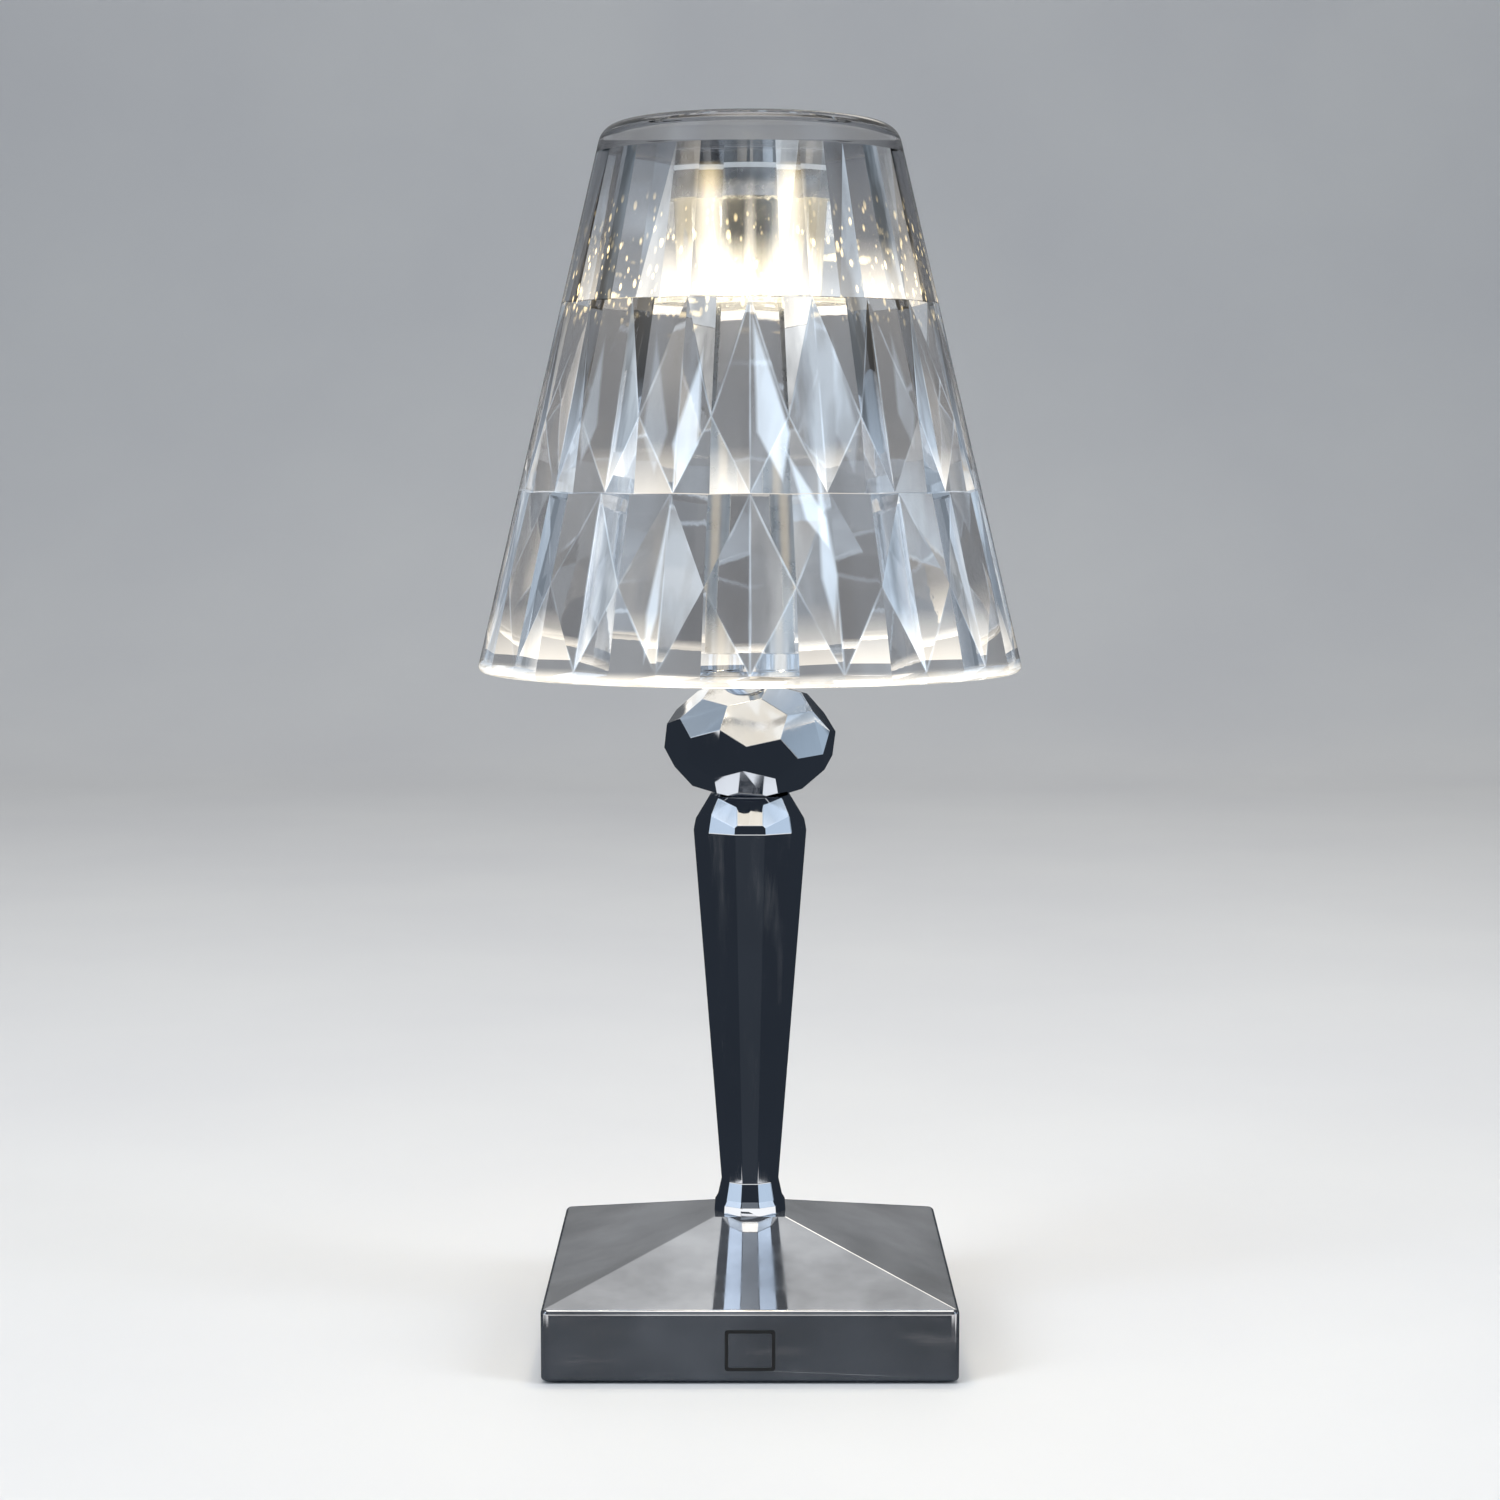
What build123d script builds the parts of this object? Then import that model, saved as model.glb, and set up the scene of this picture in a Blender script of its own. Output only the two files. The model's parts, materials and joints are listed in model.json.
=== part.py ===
from build123d import *
import math
import os

# Cordless table lamp, in millimetres. +Z is up and the origin is the centre of the underside,
# at the plane the rubber feet stand on. The power button is on the front wall, which faces -Y.

# ---- driving dimensions ----
LAMP_HEIGHT = 250.0

# base
BASE_SIDE = 82.8
WALL_BOTTOM_Z = 0.5
WALL_TOP_Z = 14.7
WALL = 2.2
CORNER_R = 1.6
EDGE_R = 0.7
PYRAMID_TOP_Z = 25.0
PYRAMID_TOP_HALF = 7.5
RIDGE_R = 2.0
WALL_TOP_R = 1.0
STEM_BOSS_R = 9.0
STEM_BOSS_Z = 19.0
COVER_TOP_Z = 2.5
COVER_GAP = 0.1
COVER_BOSS_AT = 33.0
COVER_BOSS_R = 3.2
FOOT_AT = 27.0
FOOT_R = 5.0
FOOT_RECESS = 0.8

# front power button
BUTTON_Z = 6.83
SEAL_WIDTH = 10.0
SEAL_HEIGHT = 8.3
SEAL_FRAME = 0.65
BUTTON_GAP = 0.05
BUTTON_FLANGE = 0.5

# stem
STEM_SIDES = 12
STEM_FOOT_H = 1.8
STEM_FOOT_R = 7.35
STEM_FLARE_H = 2.8
STEM_FLARE_R = 6.75
STEM_WAIST_Z = 31.5
STEM_WAIST_R = 5.95
STEM_WIDEST_Z = 105.8
STEM_WIDEST_R = 11.7
SHOULDER_SLOPE = 0.2
NECK_Z = 113.0
NECK_R = 8.1
NECK_OCTAGON_R = 8.46
NECK_CUT_Z = 100.0
ROD_R = 3.0
ROD_BORE_R = 2.0
ROD_HOLE_R = 3.1
ROD_BOTTOM_Z = 14.0
ROD_TOP_Z = 136.8

# faceted ball
BALL_Z = 124.3
BALL_HALF_WIDTH = 18.0
BALL_HALF_HEIGHT = 12.9
BALL_TOP_Z = 135.6
BALL_LEAN = 24.0
BALL_ROLL = -17.0
BALL_TURN = 3.0

# collar, inner tube and light head
COLLAR_R = 6.2
COLLAR_SEAT_Z = 134.8
COLLAR_TOP_Z = 141.0
TUBE_R = 1.7
TUBE_BORE_R = 1.2
TUBE_BOTTOM_Z = 137.5
TUBE_TOP_Z = 232.0
CUP_R = 12.5
CUP_WALL = 1.8
CUP_BOTTOM_Z = 213.5
CUP_FLOOR_T = 2.0
CUP_TOP_Z = 235.4
LED_BOARD_R = 11.6
LED_BOARD_T = 1.6
LED_RING_R = 7.4
LED_COUNT = 2
OPTIC_TOP_R = 2.0
OPTIC_LOW_R = 3.0
OPTIC_BOTTOM_Z = 216.7
HEAT_SINK_R = 13.5
HEAD_SCREW_AT = 6.0
HEAT_SINK_TOP_Z = 239.4
SPIGOT_R = 11.9
SPIGOT_TOP_Z = 243.0

# shade
RIM_Z = 138.8
RIM_R = 56.4
SHADE_TOP_R = 30.1
SHADE_TOP_ROUND = 4.5
RIM_ROUND = 1.2
ROOF_UNDER_Z = 243.5
BAND_Z = 140.6
LOW_LEDGE_Z = 175.0
HIGH_LEDGE_Z = 213.0
LOW_WAIST_Z = 157.5
HIGH_WAIST_Z = 190.0
SHADE_CELLS = 18
SOCKET_R = 12.0
SOCKET_WALL = 2.0
TOP_RECESS_R = 16.6
TOP_RECESS_DEPTH = 0.6
GATE_R = 2.0

# inside the base
BOARD_TOP_Z = 4.6
BOARD_T = 1.2
BOARD_HALF_X = 27.0
BOARD_FRONT_Y = -36.0
BOARD_BACK_Y = -10.0
BOARD_SCREW_X = 23.0
BOARD_SCREW_YS = (-32.0, -14.0)
WEIGHT_HALF_X = 35.0
WEIGHT_FRONT_Y = -7.0
WEIGHT_BACK_Y = 28.5
WEIGHT_TOP_Z = 6.5
WEIGHT_SCREW_X = 31.0
PAD_T = 0.5
BATTERY_HALF_X = 27.0
BATTERY_FRONT_Y = -4.0
BATTERY_BACK_Y = 27.0
BATTERY_T = 5.6
WIRE_R = 0.55
LAMP_WIRE_R = 0.35

# rear charging port and its cover
PORT_Z = 7.0
PORT_WIDTH = 9.4
PORT_HEIGHT = 3.6
FLAP_WIDTH = 13.6
FLAP_T = 1.1
FLAP_BOTTOM_Z = 3.9
FLAP_HINGE_Z = 11.0
FLAP_GAP = 0.2
HINGE_PIN_R = 0.5

# ---- sizes that follow ----
HALF = BASE_SIDE / 2
INNER_HALF = HALF - WALL
SLOPE = (PYRAMID_TOP_Z - WALL_TOP_Z) / (HALF - PYRAMID_TOP_HALF)
PORT_PAD_Y = HALF - 3.6
FLAP_HINGE_Y = HALF - FLAP_T
BATTERY_BOTTOM_Z = WEIGHT_TOP_Z + PAD_T
BATTERY_TOP_Z = BATTERY_BOTTOM_Z + BATTERY_T
LED_FACE_Z = CUP_TOP_Z - 1.0

os.makedirs("parts", exist_ok=True)


# ---- helpers ----
def rod(radius, z_low, z_high, x=0, y=0):
    on_its_end = (Align.CENTER, Align.CENTER, Align.MIN)
    return Pos(x, y, z_low) * Cylinder(radius, z_high - z_low, align=on_its_end)


def tube(outer_r, inner_r, z_low, z_high):
    return rod(outer_r, z_low, z_high) - rod(inner_r, z_low - 1, z_high + 1)


def block(x_low, x_high, y_low, y_high, z_low, z_high):
    centre = Pos((x_low + x_high) / 2, (y_low + y_high) / 2, (z_low + z_high) / 2)
    return centre * Box(x_high - x_low, y_high - y_low, z_high - z_low)


def rod_along_x(radius, x_low, x_high, y, z):
    return Pos((x_low + x_high) / 2, y, z) * Rot(0, 90, 0) * Cylinder(radius, x_high - x_low)


def rod_along_y(radius, y_low, y_high, x, z):
    return Pos(x, (y_low + y_high) / 2, z) * Rot(90, 0, 0) * Cylinder(radius, y_high - y_low)


def polar(radius, degrees, z):
    # degrees are counted from the front (-Y) towards +X
    angle = math.radians(degrees)
    return Vector(radius * math.sin(angle), -radius * math.cos(angle), z)


def ring(sides, apothem, z, turn=0.0):
    # corners of a regular polygon with a flat facing the front, turned by `turn` degrees
    radius = apothem / math.cos(math.pi / sides)
    return [polar(radius, turn + (i + 0.5) * 360 / sides, z) for i in range(sides)]


def flat(points):
    return Face(Wire.make_polygon(points, close=True))


def closed_solid(faces):
    solid = Solid(Shell(faces))
    return solid if solid.volume > 0 else Solid(Shell([-face for face in faces]))


def stacked(rings):
    # a solid whose faces join one ring of corners to the next, closed by the first and last ring
    faces = [flat(rings[0]), flat(rings[-1])]
    for low, high in zip(rings, rings[1:]):
        for i in range(len(low)):
            j = (i + 1) % len(low)
            faces.append(flat([low[i], low[j], high[j], high[i]]))
    return closed_solid(faces)


def wire_run(points, bend, radius=WIRE_R):
    # a round wire along straight runs joined by bends of radius `bend`
    path = FilletPolyline(*points, radius=bend)
    return sweep(Plane(origin=path @ 0, z_dir=path % 0) * Circle(radius), path=path)


def save(shape, node):
    export_step(shape, f"parts/{node}.step")


def plate_y(width, height, corner_r, y_low, y_high, x, z):
    # a rounded rectangle in the XZ plane, thick along Y
    plane = Plane(origin=(x, y_low, z), x_dir=(1, 0, 0), z_dir=(0, 1, 0))
    return extrude(plane * RectangleRounded(width, height, corner_r), amount=y_high - y_low)


def screw(head_r, head_h, shaft_r, length):
    # pan head with a cross recess, its shaft pointing down -Z from the head's underside at the origin
    recess = block(-head_r * 0.6, head_r * 0.6, -0.2, 0.2, head_h * 0.5, head_h + 1)
    recess += block(-0.2, 0.2, -head_r * 0.6, head_r * 0.6, head_h * 0.5, head_h + 1)
    return rod(head_r, 0, head_h) + rod(shaft_r, -length, 0) - recess


def corners(at):
    return [(x, y) for x in (-at, at) for y in (-at, at)]


# ---- shade ----
def shade_outer_r(z):
    return RIM_R + (SHADE_TOP_R - RIM_R) * (z - RIM_Z) / (LAMP_HEIGHT - RIM_Z)


def shade_outside():
    profile = make_face(
        Polyline((0, RIM_Z), (RIM_R, RIM_Z), (SHADE_TOP_R, LAMP_HEIGHT), (0, LAMP_HEIGHT), close=True)
    )
    rim_corner = profile.vertices().sort_by(Axis.X)[-1]
    profile = fillet(rim_corner, RIM_ROUND)
    top_corner = profile.vertices().sort_by_distance((SHADE_TOP_R, LAMP_HEIGHT))[0]
    profile = fillet(top_corner, SHADE_TOP_ROUND)
    return revolve(Plane.XZ * profile, Axis.Z)


def cell_ring(z, line_depth, between_depth):
    # corners of the cut inside: one on each cell line and one half-way to the next
    step = 180 / SHADE_CELLS
    depths = [line_depth, between_depth] * SHADE_CELLS
    return [polar(shade_outer_r(z) - depth, i * step, z) for i, depth in enumerate(depths)]


def between_points(z, depth):
    step = 360 / SHADE_CELLS
    return [polar(shade_outer_r(z) - depth, (k + 0.5) * step, z) for k in range(SHADE_CELLS)]


def strip(low, high):
    faces = []
    for i in range(len(low)):
        j = (i + 1) % len(low)
        faces.append(flat([low[i], low[j], high[j]]))
        faces.append(flat([low[i], high[j], high[i]]))
    return faces


def diamond_tier(low, middle, high):
    # diamonds folded along each cell line, with four small triangles between two neighbours
    faces = []
    for k in range(SHADE_CELLS):
        a, b, c = 2 * k, 2 * k + 1, (2 * k + 2) % (2 * SHADE_CELLS)
        point = middle[k]
        faces += [flat([low[a], low[b], point]), flat([low[b], low[c], point])]
        faces += [flat([high[b], high[a], point]), flat([high[c], high[b], point])]
        faces += [flat([low[a], point, high[a]]), flat([low[c], high[c], point])]
    return faces


def shade_cavity():
    # each pair of depths is the wall's thickness on a cell line and half-way to the next one
    rim = cell_ring(RIM_Z, 2.7, 2.7)
    below = [point - Vector(0, 0, 1) for point in rim]
    band = cell_ring(BAND_Z, 4.8, 2.7)
    low_top = cell_ring(LOW_LEDGE_Z, 4.6, 2.5)
    middle_bottom = cell_ring(LOW_LEDGE_Z, 6.4, 4.6)
    middle_top = cell_ring(HIGH_LEDGE_Z, 5.2, 3.0)
    high_bottom = cell_ring(HIGH_LEDGE_Z, 6.3, 5.4)
    roof = cell_ring(ROOF_UNDER_Z, 5.4, 4.7)
    faces = [flat(below), flat(roof)] + strip(below, rim) + strip(rim, band)
    faces += diamond_tier(band, between_points(LOW_WAIST_Z, 2.0), low_top)
    faces += strip(low_top, middle_bottom)
    faces += diamond_tier(middle_bottom, between_points(HIGH_WAIST_Z, 2.2), middle_top)
    faces += strip(middle_top, high_bottom) + strip(high_bottom, roof)
    return closed_solid(faces)


def shade():
    socket = tube(SOCKET_R + SOCKET_WALL, SOCKET_R, HEAT_SINK_TOP_Z + 1.0, ROOF_UNDER_Z + 0.5)
    recess = rod(TOP_RECESS_R, LAMP_HEIGHT - TOP_RECESS_DEPTH, LAMP_HEIGHT + 1)
    gate = rod(GATE_R, LAMP_HEIGHT - 2 * TOP_RECESS_DEPTH, LAMP_HEIGHT + 1)
    return shade_outside() - shade_cavity() + socket - recess - gate


def shade_seat_ring():
    return tube(HEAT_SINK_R - 0.1, SPIGOT_R + 0.2, HEAT_SINK_TOP_Z, HEAT_SINK_TOP_Z + 1.0)


# ---- light head ----
def heat_sink():
    disc = rod(HEAT_SINK_R, CUP_TOP_Z + LED_BOARD_T, HEAT_SINK_TOP_Z)
    skirt = tube(HEAT_SINK_R, CUP_R + 0.05, CUP_TOP_Z - 1.5, CUP_TOP_Z + LED_BOARD_T)
    spigot = rod(SPIGOT_R, HEAT_SINK_TOP_Z, SPIGOT_TOP_Z)
    hollow = rod(SPIGOT_R - 3, HEAT_SINK_TOP_Z + 1, SPIGOT_TOP_Z + 1)
    body = disc + skirt + spigot - hollow
    for x, y in head_screw_places():
        body -= rod(0.95, CUP_TOP_Z + LED_BOARD_T - 1, CUP_TOP_Z + LED_BOARD_T + 2.1, x, y)
    return body


def head_screw_places():
    return [(HEAD_SCREW_AT, HEAD_SCREW_AT), (-HEAD_SCREW_AT, -HEAD_SCREW_AT)]


def led_board():
    board = rod(LED_BOARD_R, CUP_TOP_Z, CUP_TOP_Z + LED_BOARD_T)
    for x, y in head_screw_places():
        board -= rod(1.05, CUP_TOP_Z - 1, CUP_TOP_Z + LED_BOARD_T + 1, x, y)
    return board


def led_chips():
    chip = block(-1.6, 1.6, -1.6, 1.6, LED_FACE_Z, CUP_TOP_Z)
    return [Rot(0, 0, i * 360 / LED_COUNT) * Pos(LED_RING_R, 0, 0) * chip for i in range(LED_COUNT)]


def led_optics():
    # a clear cone with a curved side under each chip, widening downwards to a shallow lens
    top, low, steps = LED_FACE_Z - 0.05, OPTIC_BOTTOM_Z, 8
    outline = [(0, low - 1.0), (0, top)]
    for i in range(steps + 1):
        down = i / steps
        radius = OPTIC_TOP_R + (OPTIC_LOW_R - OPTIC_TOP_R) * math.sqrt(down)
        outline.append((radius, top + (low - top) * down))
    outline.append((0.6 * OPTIC_LOW_R, low - 0.7))
    one = revolve(Plane.XZ * make_face(Polyline(*outline, close=True)), Axis.Z)
    return [Rot(0, 0, i * 360 / LED_COUNT) * Pos(LED_RING_R, 0, 0) * one for i in range(LED_COUNT)]


def head_screws():
    one = Pos(0, 0, CUP_TOP_Z) * Rot(180, 0, 0) * screw(1.7, 1.1, 0.9, 3.4)
    return [Pos(x, y, 0) * one for x, y in head_screw_places()]


def lens_cup():
    floor = rod(CUP_R, CUP_BOTTOM_Z, CUP_BOTTOM_Z + CUP_FLOOR_T)
    wall = tube(CUP_R, CUP_R - CUP_WALL, CUP_BOTTOM_Z, CUP_TOP_Z)
    column = rod(TUBE_R + CUP_WALL, CUP_BOTTOM_Z, TUBE_TOP_Z)
    return floor + wall + column - rod(TUBE_R + 0.05, CUP_BOTTOM_Z - 1, CUP_TOP_Z)


def inner_tube():
    return tube(TUBE_R, TUBE_BORE_R, TUBE_BOTTOM_Z, TUBE_TOP_Z)


def ball_collar():
    body = rod(COLLAR_R, COLLAR_SEAT_Z, TUBE_BOTTOM_Z) + rod(TUBE_R + 1.1, TUBE_BOTTOM_Z, COLLAR_TOP_Z)
    body -= rod(ROD_R + 0.05, COLLAR_SEAT_Z - 1, ROD_TOP_Z + 0.1)
    body -= rod(ROD_BORE_R, COLLAR_SEAT_Z, COLLAR_TOP_Z)
    return body - rod(TUBE_R + 0.05, TUBE_BOTTOM_Z, COLLAR_TOP_Z + 1)


# ---- faceted ball: a ball of 12 pentagons and 20 hexagons, pressed flatter along Z ----
def icosahedron():
    golden = (1 + math.sqrt(5)) / 2
    points = []
    for a in (-1, 1):
        for b in (-golden, golden):
            points += [Vector(0, a, b), Vector(a, b, 0), Vector(b, 0, a)]
    return [point.normalized() for point in points]


def ball_frames(tips):
    # the hexagon chosen as the front one, and the pentagon below it, as two unit directions each:
    # where they are in the plain icosahedron and where they have to point on the lamp
    first = tips[0]
    near = [tip for tip in tips if 0.3 < tip.dot(first) < 0.6]
    second = near[0]
    third = [tip for tip in near if 0.3 < tip.dot(second) < 0.6][0]
    ahead = (first + second + third).normalized()
    below = (first - ahead * first.dot(ahead)).normalized()
    lean, turn, roll = (math.radians(angle) for angle in (BALL_LEAN, BALL_TURN, BALL_ROLL))
    front = Vector(math.sin(turn) * math.cos(lean), -math.cos(turn) * math.cos(lean), math.sin(lean))
    down = (Vector(0, 0, -1) + front * front.Z).normalized()
    side = front.cross(down)
    down = down * math.cos(roll) - side * math.sin(roll)
    return (ahead, below, ahead.cross(below)), (front, down, front.cross(down))


def facet_about(normal, points):
    reach = max(point.dot(normal) for point in points)
    edge = [point for point in points if reach - point.dot(normal) < 1e-6]
    first = (edge[0] - normal * edge[0].dot(normal)).normalized()
    second = normal.cross(first)
    return sorted(edge, key=lambda point: math.atan2(point.dot(second), point.dot(first)))


def faceted_ball():
    tips = icosahedron()
    old, new = ball_frames(tips)
    pairs = [(u, v) for u in tips for v in tips if 0.3 < u.dot(v) < 0.6]
    points = [(u * 2 + v) * (1 / 3) for u, v in pairs]
    reach = points[0].length
    normals = list(tips)
    for i, u in enumerate(tips):
        for j, v in enumerate(tips[i + 1:], i + 1):
            for w in tips[j + 1:]:
                if min(u.dot(v), v.dot(w), u.dot(w)) > 0.3:
                    normals.append((u + v + w).normalized())

    def on_lamp(point):
        turned = new[0] * point.dot(old[0]) + new[1] * point.dot(old[1]) + new[2] * point.dot(old[2])
        wide, high = BALL_HALF_WIDTH / reach, BALL_HALF_HEIGHT / reach
        return Vector(turned.X * wide, turned.Y * wide, BALL_Z + turned.Z * high)

    facets = [flat([on_lamp(point) for point in facet_about(normal, points)]) for normal in normals]
    ball = closed_solid(facets) & rod(2 * BALL_HALF_WIDTH, NECK_Z, BALL_TOP_Z)
    ball -= rod(ROD_HOLE_R, NECK_Z - 1, BALL_TOP_Z + 1)
    return ball - rod(COLLAR_R + 0.05, COLLAR_SEAT_Z, BALL_TOP_Z + 1)


# ---- stem ----
def stem_column():
    shoulder_drop = (NECK_Z - STEM_WIDEST_Z) * SHOULDER_SLOPE
    outline = [
        (PYRAMID_TOP_Z, PYRAMID_TOP_HALF),
        (PYRAMID_TOP_Z + STEM_FOOT_H, STEM_FOOT_R),
        (PYRAMID_TOP_Z + STEM_FLARE_H, STEM_FLARE_R),
        (STEM_WAIST_Z, STEM_WAIST_R),
        (STEM_WIDEST_Z, STEM_WIDEST_R),
        (NECK_Z, STEM_WIDEST_R - shoulder_drop),
    ]
    column = stacked([ring(STEM_SIDES, radius, z) for z, radius in outline])
    wide = NECK_Z - NECK_CUT_Z
    octagon_low = ring(8, NECK_OCTAGON_R + 0.555 * wide, NECK_CUT_Z, 22.5)
    octagon = stacked([octagon_low, ring(8, NECK_OCTAGON_R, NECK_Z, 22.5)])
    square = stacked([ring(4, NECK_R + 0.6 * wide, NECK_CUT_Z), ring(4, NECK_R, NECK_Z)])
    below_cut = rod(3 * STEM_WIDEST_R, PYRAMID_TOP_Z, NECK_CUT_Z)
    column = (column & below_cut) + (column & octagon & square)
    return column - rod(ROD_HOLE_R, PYRAMID_TOP_Z - 1, NECK_Z + 1)


def tie_rod():
    return tube(ROD_R, ROD_BORE_R, ROD_BOTTOM_Z, ROD_TOP_Z)


def tie_washer():
    return tube(7.0, ROD_R + 0.2, STEM_BOSS_Z - 0.8, STEM_BOSS_Z)


def tie_nut():
    nut = stacked([ring(6, 5.0, ROD_BOTTOM_Z + 0.7), ring(6, 5.0, STEM_BOSS_Z - 0.8)])
    return nut - rod(ROD_R + 0.02, ROD_BOTTOM_Z, STEM_BOSS_Z)


# ---- base ----
def pyramid(wall_half, low_z, wall_top_z, top_half, top_z):
    return stacked([ring(4, wall_half, low_z), ring(4, wall_half, wall_top_z), ring(4, top_half, top_z)])


def base_outside():
    upright = extrude(RectangleRounded(BASE_SIDE, BASE_SIDE, CORNER_R), amount=2 * PYRAMID_TOP_Z)
    body = pyramid(HALF, WALL_BOTTOM_Z, WALL_TOP_Z, PYRAMID_TOP_HALF, PYRAMID_TOP_Z) & upright
    low_edges = body.edges().group_by(Axis.Z)[0]
    body = fillet(low_edges, EDGE_R)
    ridges = [e for e in body.edges() if WALL_TOP_Z + 2 < e.center().Z < PYRAMID_TOP_Z - 2]
    body = fillet(ridges, RIDGE_R)
    top_edges = [e for e in body.edges() if abs(e.center().Z - WALL_TOP_Z) < 0.45]
    return fillet(top_edges, WALL_TOP_R)


def base_cavity():
    drop = WALL * math.hypot(1, SLOPE)
    side_top = WALL_TOP_Z + WALL * SLOPE - drop
    top = PYRAMID_TOP_Z - drop
    return pyramid(INNER_HALF, WALL_BOTTOM_Z - 1, side_top, PYRAMID_TOP_HALF, top)


def port_recess():
    low, high = FLAP_BOTTOM_Z - FLAP_GAP, FLAP_HINGE_Z + FLAP_T + 0.1
    reach = FLAP_WIDTH / 2 + FLAP_GAP
    recess = block(-reach, reach, FLAP_HINGE_Y - 0.4, HALF + 1, low, high)
    recess += rod_along_x(FLAP_T + 0.15, -reach, reach, FLAP_HINGE_Y, FLAP_HINGE_Z)
    recess += plate_y(PORT_WIDTH, PORT_HEIGHT, 1.6, PORT_PAD_Y - 1, HALF, 0, PORT_Z)
    return recess + rod_along_x(HINGE_PIN_R + 0.02, -9.0, 9.0, FLAP_HINGE_Y, FLAP_HINGE_Z)


def base_shell():
    body = base_outside() - base_cavity()
    body += rod(STEM_BOSS_R, STEM_BOSS_Z, PYRAMID_TOP_Z - WALL)
    for x, y in corners(COVER_BOSS_AT):
        body += rod(COVER_BOSS_R, COVER_TOP_Z, WALL_TOP_Z, x, y)
        body -= rod(1.1, COVER_TOP_Z - 1, COVER_TOP_Z + 9, x, y)
    body += block(-10.5, 10.5, PORT_PAD_Y, INNER_HALF + 0.5, COVER_TOP_Z + 0.1, WALL_TOP_Z - WALL + 1)
    body -= port_recess()
    body -= plate_y(SEAL_WIDTH, SEAL_HEIGHT, 0.6, -HALF - 1, -INNER_HALF + 1, 0, BUTTON_Z)
    return body - rod(ROD_HOLE_R, STEM_BOSS_Z - 1, PYRAMID_TOP_Z + 1)


def bottom_cover():
    side = 2 * (INNER_HALF - COVER_GAP)
    plate = extrude(RectangleRounded(side, side, 0.8), amount=COVER_TOP_Z - WALL_BOTTOM_Z)
    body = Pos(0, 0, WALL_BOTTOM_Z) * plate
    for x, y in corners(COVER_BOSS_AT):
        body -= rod(2.3, WALL_BOTTOM_Z - 1, WALL_BOTTOM_Z + 1.0, x, y)
        body -= rod(1.3, WALL_BOTTOM_Z - 1, COVER_TOP_Z + 1, x, y)
    for x, y in corners(FOOT_AT):
        body -= rod(FOOT_R, WALL_BOTTOM_Z - 1, WALL_BOTTOM_Z + FOOT_RECESS, x, y)
    for x, y in board_screw_places():
        body += rod(2.2, COVER_TOP_Z, BOARD_TOP_Z - BOARD_T, x, y)
        body -= rod(0.95, WALL_BOTTOM_Z + 0.7, BOARD_TOP_Z, x, y)
    for x, y in socket_screw_places():
        body += rod(2.2, COVER_TOP_Z, socket_board_z() - BOARD_T, x, y)
        body -= rod(0.95, WALL_BOTTOM_Z + 0.7, socket_board_z(), x, y)
    for x, y in weight_screw_places():
        body -= rod(1.25, WALL_BOTTOM_Z + 0.7, COVER_TOP_Z + 1, x, y)
    return body


def cover_screws():
    one = Pos(0, 0, WALL_BOTTOM_Z + 1.0) * Rot(180, 0, 0) * screw(2.1, 0.8, 1.05, 9.0)
    return [Pos(x, y, 0) * one for x, y in corners(COVER_BOSS_AT)]


def rubber_feet():
    one = rod(FOOT_R - 0.05, 0, WALL_BOTTOM_Z + FOOT_RECESS)
    one = fillet(one.edges().group_by(Axis.Z)[0], 0.4)
    return [Pos(x, y, 0) * one for x, y in corners(FOOT_AT)]


# ---- inside the base ----
def weight_screw_places():
    return [(x, (WEIGHT_FRONT_Y + WEIGHT_BACK_Y) / 2) for x in (-WEIGHT_SCREW_X, WEIGHT_SCREW_X)]


def counterweight():
    body = block(-WEIGHT_HALF_X, WEIGHT_HALF_X, WEIGHT_FRONT_Y, WEIGHT_BACK_Y, COVER_TOP_Z, WEIGHT_TOP_Z)
    for x, y in weight_screw_places():
        body -= rod(1.35, COVER_TOP_Z - 1, WEIGHT_TOP_Z + 1, x, y)
    return body


def counterweight_screws():
    return [Pos(x, y, WEIGHT_TOP_Z) * screw(2.1, 1.2, 1.2, 5.2) for x, y in weight_screw_places()]


def battery_pad():
    reach = BATTERY_HALF_X - 2
    return block(-reach, reach, BATTERY_FRONT_Y + 2, BATTERY_BACK_Y - 2, WEIGHT_TOP_Z, BATTERY_BOTTOM_Z)


def battery_pack():
    reach = BATTERY_HALF_X
    body = block(-reach, reach, BATTERY_FRONT_Y, BATTERY_BACK_Y, BATTERY_BOTTOM_Z, BATTERY_TOP_Z)
    return fillet(body.edges().filter_by(Axis.X), 1.5)


def board_screw_places():
    return [(x, y) for x in (-BOARD_SCREW_X, BOARD_SCREW_X) for y in BOARD_SCREW_YS]


def circuit_board():
    low = BOARD_TOP_Z - BOARD_T
    body = block(-BOARD_HALF_X, BOARD_HALF_X, BOARD_FRONT_Y, BOARD_BACK_Y, low, BOARD_TOP_Z)
    for x, y in board_screw_places():
        body -= rod(1.05, low - 1, BOARD_TOP_Z + 1, x, y)
    return body


def board_screws():
    return [Pos(x, y, BOARD_TOP_Z) * screw(1.7, 1.1, 0.9, 3.2) for x, y in board_screw_places()]


def driver_chip():
    body = block(7, 13, -25, -20, BOARD_TOP_Z, BOARD_TOP_Z + 1.5)
    return body - rod(0.4, BOARD_TOP_Z + 1.3, BOARD_TOP_Z + 2, 8, -21)


def inductor():
    body = block(-11, -4, -25, -18, BOARD_TOP_Z, BOARD_TOP_Z + 4)
    return chamfer(body.edges().filter_by(Axis.Z), 1.2)


def capacitors():
    one = rod(2.5, BOARD_TOP_Z, BOARD_TOP_Z + 6)
    one = fillet(one.edges().group_by(Axis.Z)[-1], 0.6)
    return [Pos(17, y, 0) * one for y in (-31, -25)]


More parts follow.
